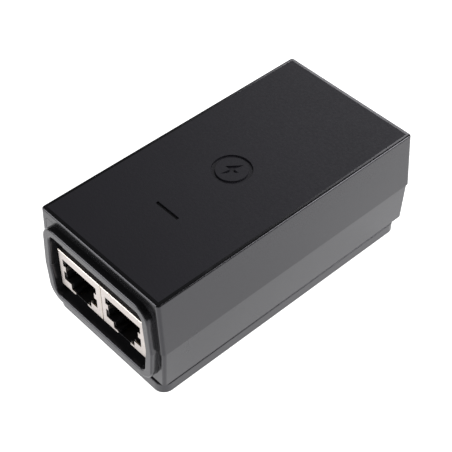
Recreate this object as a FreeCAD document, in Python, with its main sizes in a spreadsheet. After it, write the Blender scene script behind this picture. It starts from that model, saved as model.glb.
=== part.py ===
"""Power-over-Ethernet injector: a two-shell brick with two RJ45 jacks, on a slide-off wall bracket.

Frame: +X across the width, +Y from the jacks towards the mains inlet, +Z up. The origin is the centre of the
bracket's bottom face, under the middle of the body. Every size is in millimetres and lives in the sheet "dims".
"""

import FreeCAD, Part
import os
import re

import Sketcher

# Driving dimensions, grouped by the piece that owns them.
DIMENSIONS = {
    # shells
    "body_length": 84.0,
    "top_width": 42.7,
    "crease_width": 44.6,
    "bottom_width": 42.8,
    "upper_height": 16.6,
    "lower_height": 13.2,
    "rear_draft": 0.5,
    "case_setback": 0.4,
    "crease_step": 0.25,
    "side_wall": 2.0,
    "top_wall": 2.2,
    "floor_wall": 2.0,
    "corner_radius": 0.9,
    "top_edge_radius": 0.6,
    "base_chamfer": 0.8,
    "tongue_thickness": 0.8,
    "tongue_height": 1.0,
    "fit_gap": 0.1,
    "front_wall": 1.8,
    # front bezel
    "bezel_thickness": 1.8,
    "collar_proud": 1.8,
    "collar_inset": 2.1,
    "collar_top_drop": 2.8,
    "collar_bottom_rise": 1.7,
    "collar_wall": 2.3,
    "collar_corner": 4.6,
    "collar_inner_corner": 2.4,
    "flange_width": 0.4,
    "flange_corner": 0.8,
    "flange_rise": 8.0,
    "collar_lip": 0.85,
    "collar_lip_start": 12.0,
    "collar_edge": 0.5,
    # light pipe and mark
    "light_slot_width": 7.7,
    "light_slot_depth": 0.9,
    "light_slot_from_front": 21.2,
    "pipe_flange": 0.9,
    "pipe_recess": 0.3,
    "pipe_stem_width": 5.0,
    "pipe_stem_depth": 1.8,
    "pipe_led_gap": 0.4,
    "mark_radius": 5.25,
    "mark_ring": 1.1,
    "mark_depth": 0.35,
    # board
    "board_width": 37.6,
    "board_thickness": 1.6,
    "board_end_gap": 0.4,
    "post_height": 3.4,
    "post_radius": 2.0,
    "peg_radius": 1.0,
    "peg_short": 0.2,
    "post_spread": 17.0,
    "post_from_front": 9.0,
    "post_from_rear": 6.0,
    "sheet_thickness": 0.4,
    "sheet_lift": 0.15,
    "sheet_width": 37.0,
    "sheet_from_front": 22.0,
    # jacks
    "jack_width": 16.1,
    "jack_pitch": 16.3,
    "jack_height": 12.45,
    "jack_depth": 15.6,
    "jack_proud": 0.26,
    "shield_wall": 0.3,
    "shield_edge": 0.35,
    "window_width": 12.8,
    "window_drop": 2.5,
    "shoulder_width": 7.7,
    "shoulder_rise": 2.9,
    "throat_width": 4.6,
    "throat_rise": 1.05,
    "finger_width": 0.9,
    "finger_rise": 5.8,
    "finger_height": 1.85,
    "plug_width": 11.8,
    "plug_top_drop": 2.75,
    "plug_depth": 12.6,
    "insulator_setback": 0.4,
    "insulator_roof_gap": 0.75,
    "latch_width": 7.2,
    "latch_rise": 1.25,
    "comb_width": 9.0,
    "comb_start": 1.9,
    "contact_count": 8,
    "contact_pitch": 1.02,
    "contact_width": 0.42,
    "contact_thickness": 0.3,
    "contact_length": 8.2,
    "contact_angle": 20.0,
    "contact_pivot_from_face": 2.65,
    "contact_pivot_drop": 2.35,
    "tail_from_face": 2.15,
    "tail_back_gap": 0.7,
    # mains inlet
    "inlet_width": 27.0,
    "inlet_height": 19.4,
    "inlet_depth": 22.0,
    "inlet_inset": 0.2,
    "inlet_cavity_width": 24.2,
    "inlet_cavity_height": 16.6,
    "inlet_cavity_depth": 15.6,
    "inlet_cavity_cut": 5.2,
    "inlet_edge": 0.6,
    "inlet_ear": 2.0,
    "inlet_ear_thickness": 1.4,
    "inlet_ear_height": 14.0,
    "pin_thickness": 2.0,
    "pin_height": 4.0,
    "pin_spread": 7.0,
    "pin_offset": 2.0,
    "pin_recess": 3.0,
    "pin_tail": 1.8,
    "pin_tail_thickness": 0.8,
    # line side parts
    "fuse_x": 17.0,
    "fuse_y": 28.0,
    "fuse_radius": 1.8,
    "fuse_length": 10.0,
    "fuse_lift": 0.5,
    "varistor_x": -16.7,
    "varistor_y": 28.0,
    "varistor_radius": 5.0,
    "varistor_thickness": 3.6,
    "varistor_lift": 1.4,
    "lead_radius": 0.3,
    "filter_cap_x": -9.0,
    "filter_cap_y": 13.8,
    "filter_cap_width": 13.0,
    "filter_cap_depth": 6.0,
    "filter_cap_height": 12.0,
    "choke_x": 8.5,
    "choke_y": 12.6,
    "choke_radius": 6.4,
    "choke_bore": 3.0,
    "choke_thickness": 4.8,
    "choke_wire": 0.8,
    "choke_lift": 1.2,
    "choke_split": 2.4,
    "bridge_x": 13.4,
    "bridge_y": 3.8,
    "bridge_width": 8.0,
    "bridge_depth": 6.4,
    "bridge_height": 2.8,
    "bulk_cap_x": -11.6,
    "bulk_cap_y": 1.8,
    "bulk_cap_radius": 6.25,
    "bulk_cap_height": 18.5,
    "can_groove": 0.4,
    "can_groove_rise": 1.6,
    "switch_x": 2.2,
    "switch_y": 3.2,
    "switch_width": 6.4,
    "switch_depth": 9.4,
    "switch_height": 3.3,
    # transformer
    "core_x": 5.6,
    "core_y": -9.6,
    "core_width": 19.0,
    "core_depth": 5.0,
    "core_height": 14.6,
    "core_leg": 4.8,
    "core_yoke": 2.4,
    "core_lift": 1.2,
    "bobbin_wall": 0.8,
    "bobbin_flange": 1.0,
    "bobbin_reach": 6.7,
    "winding_reach": 5.9,
    "winding_round": 1.5,
    "coil_gap": 0.1,
    # output side parts
    "opto_x": -14.4,
    "opto_y": -9.0,
    "opto_width": 4.6,
    "opto_depth": 6.5,
    "opto_height": 3.5,
    "safety_cap_x": -8.6,
    "safety_cap_y": -9.4,
    "safety_cap_radius": 4.0,
    "safety_cap_thickness": 3.4,
    "safety_cap_lift": 1.2,
    "diode_x": 16.9,
    "diode_y": -9.6,
    "diode_radius": 1.3,
    "diode_length": 8.0,
    "diode_lift": 0.6,
    "output_cap_left_x": -14.4,
    "output_cap_left_y": -21.4,
    "output_cap_right_x": 13.0,
    "output_cap_right_y": -21.4,
    "output_cap_radius": 4.0,
    "output_cap_height": 14.0,
    "output_choke_x": -8.0,
    "output_choke_y": -17.6,
    "output_choke_radius": 2.9,
    "output_choke_height": 7.0,
    "output_choke_waist": 1.9,
    "output_choke_flange": 1.2,
    "led_width": 3.2,
    "led_depth": 1.6,
    "led_height": 1.3,
    # wall bracket
    "bracket_width": 41.2,
    "bracket_height": 3.0,
    "bracket_gap": 1.0,
    "bracket_front_inset": 0.5,
    "bracket_rear_inset": 0.3,
    "bracket_corner": 3.0,
    "bracket_edge": 0.3,
    "bracket_plate": 1.4,
    "bracket_skirt": 1.6,
    "land_inset": 1.7,
    "slide_gap": 0.06,
    "slide_travel": 6.0,
    "lug_spread": 14.0,
    "lug_front_y": -28.0,
    "lug_rear_y": 22.0,
    "lug_neck": 2.4,
    "lug_foot": 5.0,
    "lug_length": 4.0,
    "lug_foot_thickness": 1.0,
    "lug_side_gap": 0.15,
    "lug_end_gap": 0.3,
    "screw_spacing": 40.0,
    "screw_centre_y": -6.0,
    "screw_radius": 2.1,
    "screw_head_radius": 4.2,
    "screw_head_depth": 2.2,
    "boss_radius": 5.6,
    "spine_width": 4.0,
    # latch tongue
    "latch_root_y": 22.0,
    "latch_half_width": 3.6,
    "latch_side_gap": 0.3,
    "latch_root_gap": 0.05,
    "latch_thickness": 1.1,
    "latch_top_drop": 0.05,
    "latch_end_inset": 0.1,
    "bump_half_width": 2.0,
    "bump_y": 35.5,
    "bump_length": 4.9,
    "bump_rise": 0.95,
    "bump_gap": 0.2,
}

# A lightning bolt for the mark, as fractions of the mark's radius: a plain pictogram for power.
BOLT = ((0.17, 0.60), (-0.38, -0.08), (-0.06, -0.08), (-0.17, -0.60), (0.38, 0.08), (0.06, 0.08))

# Levels and planes that several pieces share, worked out from the driving dimensions.
FRONT = "(-body_length / 2)"
REAR = "(body_length / 2)"
BASE_Z = "(bracket_height + bracket_gap)"
CREASE_Z = f"({BASE_Z} + lower_height)"
TOP_Z = f"({CREASE_Z} + upper_height)"
CEILING_Z = f"({TOP_Z} - top_wall)"
FLOOR_Z = f"({BASE_Z} + floor_wall)"
BOARD_BOTTOM = f"({FLOOR_Z} + post_height)"
BOARD_TOP = f"({BOARD_BOTTOM} + board_thickness)"
WALL_Y = f"({FRONT} + front_wall)"
BEZEL_BACK = f"({WALL_Y} + bezel_thickness)"
RIM_Y = f"({FRONT} - collar_proud)"
BOARD_FRONT = f"({BEZEL_BACK} + board_end_gap)"
BOARD_REAR = f"({REAR} - side_wall - board_end_gap)"
CASE_FRONT = f"({FRONT} + case_setback)"
FLANGE_LOW = f"({BASE_Z} + flange_rise)"
TOP_HALF = "(top_width / 2)"
CREASE_HALF = "(crease_width / 2)"
BOTTOM_HALF = "(bottom_width / 2)"
CASE_HALF = f"({CREASE_HALF} - crease_step)"
LIGHT_Y = f"({FRONT} + light_slot_from_front)"
JACK_FACE = f"({FRONT} - jack_proud)"
JACK_BACK = f"({JACK_FACE} + jack_depth)"
JACK_TOP = f"({BOARD_TOP} + jack_height)"
INLET_BACK = f"({REAR} - inlet_inset)"
INLET_FRONT = f"({INLET_BACK} - inlet_depth)"
INLET_TOP = f"({BOARD_TOP} + inlet_height)"
INLET_MID = f"({BOARD_TOP} + inlet_height / 2)"
BRACKET_FRONT = f"({FRONT} + bracket_front_inset)"
BRACKET_REAR = f"({REAR} - bracket_rear_inset)"
PLATE_BOTTOM = "(bracket_height - bracket_plate)"
LAND_TOP = f"({BASE_Z} - slide_gap)"
LATCH_TOP = "(bracket_height - latch_top_drop)"
BUMP_END = "(bump_y + bump_length)"

WORD = re.compile(r"[a-z]\w*")


def formula(text):
    """Writes a size in the document's own expression language: each dimension's name becomes its cell."""
    return WORD.sub(lambda word: f"dims.{word[0]}" if word[0] in DIMENSIONS else word[0], str(text))


def make_sheet(doc):
    """Puts the driving dimensions in the spreadsheet, one aliased cell each."""
    sheet = doc.addObject("Spreadsheet::Sheet", "dims")
    for row, (alias, size) in enumerate(DIMENSIONS.items(), start=1):
        sheet.set(f"A{row}", alias)
        sheet.set(f"B{row}", str(size))
        sheet.setAlias(f"B{row}", alias)
    doc.recompute()


# Outlines: a loop is a list of (across, up) formula pairs, or a Circle.


class Circle:
    """A round outline in a sketch."""

    def __init__(self, across, up, radius):
        self.across = across
        self.up = up
        self.radius = radius


def rect(low_a, high_a, low_b, high_b):
    """A rectangle between two limits on each sketch axis."""
    return [(low_a, low_b), (high_a, low_b), (high_a, high_b), (low_a, high_b)]


def centred(half, low_b, high_b):
    """A rectangle centred on the second sketch axis."""
    return rect(f"-({half})", half, low_b, high_b)


def mirrored(*right_side):
    """A loop that is the same left and right, from its right-hand points, bottom first."""
    left_side = [(f"-({across})", up) for across, up in reversed(right_side)]
    return list(right_side) + left_side


class Piece:
    """A PartDesign body whose sketches and features are bound to the sheet."""

    PLANES = {"XY": "XY_Plane", "XZ": "XZ_Plane", "YZ": "YZ_Plane"}

    def __init__(self, doc, name):
        self.doc = doc
        self.name = name
        self.body = doc.addObject("PartDesign::Body", name)
        self.body.Label = name
        self.count = 0

    def feature(self, kind, word):
        """Adds a numbered feature to the body."""
        self.count += 1
        return self.body.newObject(kind, f"{self.name}_{word}_{self.count}")

    def settle(self, step):
        """Recomputes, and stops at once if the new feature failed."""
        self.doc.recompute()
        if not step.isValid() or not self.body.Shape.isValid():
            raise RuntimeError(f"{step.Label}: {step.getStatusString()}")
        return step

    def sketch(self, plane, level, loops):
        """Draws loops on a plane of the body's own origin, at a level along that plane's axis."""
        drawing = self.feature("Sketcher::SketchObject", "sketch")
        planes = {item.Role: item for item in self.body.Origin.OriginFeatures}
        drawing.AttachmentSupport = [(planes[self.PLANES[plane]], "")]
        drawing.MapMode = "FlatFace"
        sign = "-" if plane == "XZ" else ""
        drawing.setExpression("AttachmentOffset.Base.z", formula(f"{sign}({level})"))
        for loop in loops:
            if isinstance(loop, Circle):
                self.draw_circle(drawing, loop)
            else:
                self.draw_polygon(drawing, loop)
        self.doc.recompute()
        return drawing

    @staticmethod
    def pin_point(drawing, geometry, position, across, up):
        """Ties one point of a sketch to its two formulas."""
        for axis, size in (("DistanceX", across), ("DistanceY", up)):
            rule = drawing.addConstraint(Sketcher.Constraint(axis, -1, 1, geometry, position, 1.0))
            drawing.setExpression(f"Constraints[{rule}]", formula(size))

    def draw_polygon(self, drawing, points):
        """Adds a closed outline of straight lines."""
        first = drawing.GeometryCount
        count = len(points)
        turns = [FreeCAD.Rotation(360.0 * i / count, 0, 0) for i in range(count)]
        start = [turn.multVec(FreeCAD.Vector(10, 0, 0)) for turn in turns]
        for i in range(count):
            drawing.addGeometry(Part.LineSegment(start[i], start[(i + 1) % count]), False)
        for i in range(count):
            after = first + (i + 1) % count
            drawing.addConstraint(Sketcher.Constraint("Coincident", first + i, 2, after, 1))
        for i, (across, up) in enumerate(points):
            self.pin_point(drawing, first + i, 1, across, up)

    def draw_circle(self, drawing, circle):
        """Adds a circle."""
        up_axis = FreeCAD.Vector(0, 0, 1)
        geometry = drawing.addGeometry(Part.Circle(FreeCAD.Vector(1, 1, 0), up_axis, 1.0), False)
        rule = drawing.addConstraint(Sketcher.Constraint("Radius", geometry, 1.0))
        drawing.setExpression(f"Constraints[{rule}]", formula(circle.radius))
        self.pin_point(drawing, geometry, 3, circle.across, circle.up)

    def run(self, kind, plane, low, high, loops):
        """Extrudes loops between two levels of a plane's axis, as added or removed material."""
        drawing = self.sketch(plane, low, loops)
        step = self.feature(kind, kind.split("::")[1].lower())
        step.Profile = drawing
        step.setExpression("Length", formula(f"({high}) - ({low})"))
        step.Reversed = (plane == "XZ") == kind.endswith("Pad")
        return self.settle(step)

    def pad(self, plane, low, high, *loops):
        """Adds material between two levels."""
        return self.run("PartDesign::Pad", plane, low, high, loops)

    def cut(self, plane, low, high, *loops):
        """Removes material between two levels, and makes sure that some went."""
        before = self.body.Shape.Volume
        step = self.run("PartDesign::Pocket", plane, low, high, loops)
        if self.body.Shape.Volume >= before:
            raise RuntimeError(f"{step.Label} removes nothing")
        return step

    def wedge(self, kind, low, low_ring, high, high_ring):
        """A block whose foot and head are rectangles of different sizes, as added or removed material.

        Each ring is its half-width and its front and rear ends. The primitive's own Y is its height.
        """
        step = self.feature(kind, "wedge")
        step.Placement = FreeCAD.Placement(FreeCAD.Vector(), FreeCAD.Rotation(FreeCAD.Vector(1, 0, 0), 90))
        step.setExpression("Placement.Base.z", formula(low))
        step.setExpression("Ymin", "0")
        step.setExpression("Ymax", formula(f"({high}) - ({low})"))
        for mark, (half, front, rear) in (("", low_ring), ("2", high_ring)):
            step.setExpression(f"X{mark}min", formula(f"-({half})"))
            step.setExpression(f"X{mark}max", formula(half))
            step.setExpression(f"Z{mark}min", formula(f"-({rear})"))
            step.setExpression(f"Z{mark}max", formula(f"-({front})"))
        return self.settle(step)

    def dress(self, kind, size_name, size, chooser):
        """Rounds or chamfers the edges that the chooser picks."""
        tip = self.body.Tip
        picked = [f"Edge{i}" for i, edge in enumerate(tip.Shape.Edges, start=1) if chooser(edge)]
        if not picked:
            raise RuntimeError(f"{self.name}: no edge to dress")
        step = self.feature(kind, kind.split("::")[1].lower())
        step.Base = (tip, picked)
        step.setExpression(size_name, formula(size))
        return self.settle(step)

    def fillet(self, radius, chooser):
        """Rounds the chosen edges."""
        return self.dress("PartDesign::Fillet", "Radius", radius, chooser)

    def chamfer(self, size, chooser):
        """Chamfers the chosen edges."""
        return self.dress("PartDesign::Chamfer", "Size", size, chooser)


# Edge choosers.

NEAR = 1e-3


def spans(edge, axis, share=0.75):
    """True for a straight edge that runs more along one axis than across it."""
    across = edge.Vertexes[-1].Point - edge.Vertexes[0].Point
    straight = abs(across.Length - edge.Length) < NEAR
    return straight and abs(getattr(across, axis)) > share * across.Length


def at_level(edge, axis, level):
    """True for an edge whose ends and middle lie at one level of an axis."""
    points = [vertex.Point for vertex in edge.Vertexes] + [middle(edge)]
    return all(abs(getattr(point, axis) - level) < NEAR for point in points)


def touches(edge, axis, level):
    """True for an edge with an end at a level of an axis."""
    return any(abs(getattr(vertex.Point, axis) - level) < NEAR for vertex in edge.Vertexes)


def middle(edge):
    """The point half-way along an edge."""
    return edge.valueAt((edge.FirstParameter + edge.LastParameter) / 2)


def reach(shape, axis, pick=max):
    """The furthest level that a shape's corners reach along an axis."""
    return pick(getattr(vertex.Point, axis) for vertex in shape.Vertexes)


class Model:
    """The document, with Part primitives and booleans bound to the sheet."""

    def __init__(self):
        self.doc = FreeCAD.newDocument("poe_injector")
        make_sheet(self.doc)
        self.nodes = []

    def add(self, item):
        """Counts an object as a sub-part to be written."""
        self.nodes.append(item)
        return item

    def primitive(self, kind, name, sizes, place):
        """Makes a Part primitive with its sizes and its corner or centre bound."""
        item = self.doc.addObject(kind, name)
        item.Label = name
        for key, size in sizes.items():
            item.setExpression(key, formula(size))
        for axis, level in zip("xyz", place):
            item.setExpression(f"Placement.Base.{axis}", formula(level))
        return item

    def box(self, name, x, y, z):
        """A block between two limits on each axis."""
        keys = ("Length", "Width", "Height")
        sizes = {key: f"({high}) - ({low})" for key, (low, high) in zip(keys, (x, y, z))}
        return self.primitive("Part::Box", name, sizes, (x[0], y[0], z[0]))

    def rod(self, name, axis, place, radius, length):
        """A cylinder from a point along an axis."""
        sizes = {"Radius": radius, "Height": length}
        item = self.primitive("Part::Cylinder", name, sizes, place)
        turns = {
            "x": FreeCAD.Rotation(FreeCAD.Vector(0, 1, 0), 90),
            "y": FreeCAD.Rotation(FreeCAD.Vector(1, 0, 0), -90),
            "z": FreeCAD.Rotation(),
        }
        item.Placement.Rotation = turns[axis]
        return item

    def fuse(self, name, parts):
        """Joins solids into one."""
        item = self.doc.addObject("Part::MultiFuse", name)
        item.Label = name
        item.Shapes = parts
        item.Refine = True
        return item

    def group(self, name, parts):
        """Keeps separate solids together as one node."""
        item = self.doc.addObject("Part::Compound", name)
        item.Label = name
        item.Links = parts
        return item

    def minus(self, name, base, tool):
        """Takes one solid away from another."""
        item = self.doc.addObject("Part::Cut", name)
        item.Label = name
        item.Base = base
        item.Tool = tool
        item.Refine = True
        return item


def make_top_cover(model):
    """Upper shell: a tapered box, open below, with the bezel's opening, the light slot and the mark."""
    piece = Piece(model.doc, "top_cover")
    piece.wedge(
        "PartDesign::AdditiveWedge",
        CREASE_Z,
        (CREASE_HALF, FRONT, f"{REAR} + rear_draft"),
        TOP_Z,
        (TOP_HALF, FRONT, REAR),
    )
    piece.fillet("corner_radius", lambda edge: spans(edge, "z"))
    top = reach(piece.body.Shape, "z")
    piece.fillet("top_edge_radius", lambda edge: at_level(edge, "z", top))
    opening = piece.cut("XZ", f"{FRONT} - 1", WALL_Y, flange_loop("fit_gap"))
    high = reach(outline_of(opening), "z")
    piece.fillet("flange_corner + fit_gap", lambda edge: spans(edge, "y") and abs(middle(edge).z - high) < NEAR)
    inner_rear = f"{REAR} - side_wall"
    piece.wedge(
        "PartDesign::SubtractiveWedge",
        CREASE_Z,
        (f"{CREASE_HALF} - side_wall", WALL_Y, f"{inner_rear} + rear_draft"),
        CEILING_Z,
        (f"{TOP_HALF} - side_wall", WALL_Y, inner_rear),
    )
    seam = f"{CREASE_HALF} - side_wall + tongue_thickness + fit_gap"
    seam_rear = f"{REAR} + rear_draft - side_wall + tongue_thickness + fit_gap"
    piece.cut("XY", CREASE_Z, f"{CREASE_Z} + tongue_height + fit_gap", centred(seam, WALL_Y, seam_rear))
    inlet = centred("inlet_width / 2 + fit_gap", CREASE_Z, f"{INLET_TOP} + fit_gap")
    piece.cut("XZ", f"{REAR} - side_wall - 1", f"{REAR} + rear_draft + 1", inlet)
    half_slot = "(light_slot_depth / 2)"
    slot = centred("light_slot_width / 2", f"{LIGHT_Y} - {half_slot}", f"{LIGHT_Y} + {half_slot}")
    piece.cut("XY", f"{CEILING_Z} - 1", f"{TOP_Z} + 1", slot)
    ring = (Circle("0", "0", "mark_radius"), Circle("0", "0", "mark_radius - mark_ring"))
    bolt = [(f"{x} * mark_radius", f"{y} * mark_radius") for x, y in BOLT]
    piece.cut("XY", f"{TOP_Z} - mark_depth", f"{TOP_Z} + 1", *ring)
    piece.cut("XY", f"{TOP_Z} - mark_depth", f"{TOP_Z} + 1", bolt)
    model.add(piece.body)


def collar_loop(grow):
    """The collar's outline, parallel to the shells' sides, grown outwards by some amount."""
    inset = f"collar_inset - ({grow})"
    low = f"{BASE_Z} + collar_bottom_rise - ({grow})"
    high = f"{TOP_Z} - collar_top_drop + ({grow})"
    return mirrored(
        (f"{BOTTOM_HALF} - ({inset})", low),
        (f"{CREASE_HALF} - ({inset})", CREASE_Z),
        (f"{TOP_HALF} - ({inset})", high),
    )


def flange_loop(grow):
    """The outline of the ledge round the collar's root, grown outwards by some amount."""
    out = f"flange_width + ({grow}) - collar_inset"
    return mirrored(
        (f"{CREASE_HALF} + ({out})", f"{FLANGE_LOW} - ({grow})"),
        (f"{CREASE_HALF} + ({out})", CREASE_Z),
        (f"{TOP_HALF} + ({out})", f"{TOP_Z} - collar_top_drop + flange_width + ({grow})"),
    )


def outline_of(step):
    """The drawn outline that a pad or a cut was made from, where it lies."""
    return step.Profile[0].Shape


def corner_picker(step, y_high):
    """Chooses the four corner edges of a collar outline: those along Y at its top and its bottom."""
    outline = outline_of(step)
    ends = (reach(outline, "z", min), reach(outline, "z"))
    half = reach(outline, "x")
    return lambda edge: (
        spans(edge, "y")
        and middle(edge).y < y_high
        and min(abs(middle(edge).z - end) for end in ends) < NEAR
        and abs(middle(edge).x) < half + NEAR
    )


def make_bottom_case(model):
    """Lower shell: floor, walls, front facets below the collar, board posts, and lugs for the bracket."""
    piece = Piece(model.doc, "bottom_case")
    case_rear = f"{REAR} + rear_draft - crease_step"
    piece.wedge(
        "PartDesign::AdditiveWedge",
        BASE_Z,
        (BOTTOM_HALF, CASE_FRONT, case_rear),
        CREASE_Z,
        (CASE_HALF, CASE_FRONT, case_rear),
    )
    base = reach(piece.body.Shape, "z", min)
    piece.fillet("corner_radius", lambda edge: spans(edge, "z"))
    piece.chamfer("base_chamfer", lambda edge: at_level(edge, "z", base))
    opening = piece.cut("XZ", f"{FRONT} - 1", WALL_Y, collar_loop("fit_gap"))
    low = reach(outline_of(opening), "z", min)
    piece.fillet("collar_corner + fit_gap", lambda edge: spans(edge, "y") and abs(middle(edge).z - low) < NEAR)
    piece.wedge(
        "PartDesign::SubtractiveWedge",
        FLOOR_Z,
        (f"{BOTTOM_HALF} - side_wall", WALL_Y, f"{case_rear} - side_wall"),
        CREASE_Z,
        (f"{CREASE_HALF} - side_wall", WALL_Y, f"{case_rear} - side_wall"),
    )
    piece.cut("XZ", f"{FRONT} - 1", WALL_Y, flange_loop("fit_gap"))
    inlet = centred("inlet_width / 2 + fit_gap", f"{BOARD_TOP} - fit_gap", f"{CREASE_Z} + 1")
    piece.cut("XZ", f"{REAR} - side_wall - 1", f"{REAR} + rear_draft + 1", inlet)
    seam_inner = f"{CREASE_HALF} - side_wall"
    seam_rear = f"{REAR} + rear_draft - side_wall"
    inlet_gap = "inlet_width / 2 + inlet_ear"
    seam_outer = f"{seam_inner} + tongue_thickness"
    tongue = mirrored(
        (seam_outer, f"{WALL_Y} + fit_gap"),
        (seam_outer, f"{seam_rear} + tongue_thickness"),
        (inlet_gap, f"{seam_rear} + tongue_thickness"),
        (inlet_gap, seam_rear),
        (seam_inner, seam_rear),
        (seam_inner, f"{WALL_Y} + fit_gap"),
    )
    half = len(tongue) // 2
    piece.pad("XY", f"{CREASE_Z} - tongue_height", f"{CREASE_Z} + tongue_height", tongue[:half], tongue[half:])
    posts = [
        (f"{side}post_spread", y)
        for side in ("", "-")
        for y in (f"{FRONT} + post_from_front", f"{REAR} - post_from_rear")
    ]
    piece.pad("XY", f"{FLOOR_Z} - 1", BOARD_BOTTOM, *[Circle(x, y, "post_radius") for x, y in posts])
    peg_top = f"{BOARD_TOP} - peg_short"
    piece.pad("XY", f"{BOARD_BOTTOM} - 1", peg_top, *[Circle(x, y, "peg_radius") for x, y in posts])
    lug_places = [(f"{side}lug_spread", y) for side in ("", "-") for y in ("lug_front_y", "lug_rear_y")]
    foot_top = f"{PLATE_BOTTOM} - slide_gap"
    foot_low = f"{foot_top} - lug_foot_thickness"
    for width, low_z, high_z in (("lug_neck", foot_low, f"{BASE_Z} + 1"), ("lug_foot", foot_low, foot_top)):
        loops = [
            rect(f"{x} - {width} / 2", f"{x} + {width} / 2", f"{y} - lug_length / 2", f"{y} + lug_length / 2")
            for x, y in lug_places
        ]
        piece.pad("XY", low_z, high_z, *loops)
    recess = centred("bump_half_width + bump_gap", "bump_y - bump_gap", f"{BUMP_END} + bump_gap")
    piece.cut("XY", f"{BASE_Z} - slide_gap", f"{BASE_Z} + bump_rise + bump_gap", recess)
    model.add(piece.body)


def make_collar(model):
    """The rounded collar on its own: outline, hollow, rounded rim, and the shallow lip under its top wall."""
    piece = Piece(model.doc, "bezel_collar")
    outline = piece.pad("XZ", RIM_Y, WALL_Y, collar_loop("0"))
    behind = 0.0
    piece.fillet("collar_corner", corner_picker(outline, behind))
    inside = piece.cut("XZ", f"{RIM_Y} - 1", f"{WALL_Y} + 1", collar_loop("-collar_wall"))
    piece.fillet("collar_inner_corner", corner_picker(inside, behind))
    rim = reach(piece.body.Shape, "y", min)
    piece.fillet("collar_edge", lambda edge: at_level(edge, "y", rim))
    inner_top = f"{TOP_Z} - collar_top_drop - collar_wall"
    lip = rect(
        "-collar_lip_start",
        f"{TOP_HALF} - collar_inset - collar_wall - collar_inner_corner / 2",
        f"{inner_top} - collar_lip",
        f"{inner_top} + collar_wall / 2",
    )
    piece.pad("XZ", f"{RIM_Y} + collar_edge", WALL_Y, lip)
    return piece.body


def make_flange(model):
    """The thin ledge round the collar's root, flush with the shells' front, above the case's front facets."""
    piece = Piece(model.doc, "bezel_flange")
    piece.pad("XZ", FRONT, WALL_Y, flange_loop("0"))
    top = reach(piece.body.Shape, "z")
    piece.fillet("flange_corner", lambda edge: spans(edge, "y") and touches(edge, "z", top))
    piece.cut("XZ", f"{FRONT} - 1", f"{WALL_Y} + 1", collar_loop("-collar_wall / 2"))
    return piece.body


def make_front_bezel(model):
    """Plate behind the shells' front walls, with the rounded collar that stands proud round both jacks."""
    plate = Piece(model.doc, "bezel_plate")
    gap = "(side_wall + fit_gap)"
    outline = mirrored(
        (f"{BOTTOM_HALF} - {gap}", f"{FLOOR_Z} + fit_gap"),
        (f"{CREASE_HALF} - crease_step - {gap}", CREASE_Z),
        (f"{TOP_HALF} - {gap}", f"{CEILING_Z} - fit_gap"),
    )
    plate.pad("XZ", WALL_Y, BEZEL_BACK, outline)
    whole = model.fuse("bezel_uncut", [plate.body, make_collar(model), make_flange(model)])
    half = "(jack_pitch / 2 + jack_width / 2 + fit_gap)"
    window = model.box(
        "bezel_window",
        (f"-{half}", half),
        (f"{RIM_Y} - 1", f"{BEZEL_BACK} + 1"),
        (f"{BOARD_TOP} - fit_gap", f"{JACK_TOP} + fit_gap"),
    )
    model.add(model.minus("front_bezel", whole, window))


def make_light_pipe(model):
    """Clear bar in the top slot: a blade a little below the top, a flange under the ceiling and a stem."""
    blade_half = "light_slot_width / 2 - fit_gap"
    depth_half = "(light_slot_depth / 2 - fit_gap)"
    flange_half = "light_slot_width / 2 + pipe_flange"
    flange_depth = "(light_slot_depth / 2 + pipe_flange)"
    stem_low = f"{BOARD_TOP} + led_height + pipe_led_gap"
    parts = [
        model.box(
            "pipe_blade",
            (f"-({blade_half})", blade_half),
            (f"{LIGHT_Y} - {depth_half}", f"{LIGHT_Y} + {depth_half}"),
            (f"{CEILING_Z} - pipe_flange", f"{TOP_Z} - pipe_recess"),
        ),
        model.box(
            "pipe_flange_block",
            (f"-({flange_half})", flange_half),
            (f"{LIGHT_Y} - {flange_depth}", f"{LIGHT_Y} + {flange_depth}"),
            (f"{CEILING_Z} - pipe_flange", CEILING_Z),
        ),
        model.box(
            "pipe_stem",
            ("-pipe_stem_width / 2", "pipe_stem_width / 2"),
            (f"{LIGHT_Y} - pipe_stem_depth / 2", f"{LIGHT_Y} + pipe_stem_depth / 2"),
            (stem_low, f"{CEILING_Z} - pipe_flange"),
        ),
    ]
    model.add(model.fuse("light_pipe", parts))


def make_board(model):
    """Circuit board on the four posts, its status lamp, and the insulating sheet under the mains side."""
    posts = [
        (f"{side}post_spread", y)
        for side in ("", "-")
        for y in (f"{FRONT} + post_from_front", f"{REAR} - post_from_rear")
    ]
    board = Piece(model.doc, "main_board")
    board.pad("XY", BOARD_BOTTOM, BOARD_TOP, centred("board_width / 2", BOARD_FRONT, BOARD_REAR))
    holes = [Circle(x, y, "peg_radius + fit_gap") for x, y in posts]
    board.cut("XY", f"{BOARD_BOTTOM} - 1", f"{BOARD_TOP} + 1", *holes)
    model.add(board.body)
    sheet = Piece(model.doc, "insulation_sheet")
    sheet_low = f"{FLOOR_Z} + sheet_lift"
    sheet_high = f"{sheet_low} + sheet_thickness"
    sheet.pad("XY", sheet_low, sheet_high, centred("sheet_width / 2", f"{FRONT} + sheet_from_front", BOARD_REAR))
    rear_posts = [Circle(x, y, "post_radius + fit_gap") for x, y in posts if y.startswith(REAR)]
    sheet.cut("XY", f"{sheet_low} - 1", f"{sheet_high} + 1", *rear_posts)
    model.add(sheet.body)
    model.add(
        model.box(
            "status_led",
            ("-led_width / 2", "led_width / 2"),
            (f"{LIGHT_Y} - led_depth / 2", f"{LIGHT_Y} + led_depth / 2"),
            (BOARD_TOP, f"{BOARD_TOP} + led_height"),
        )
    )


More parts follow.
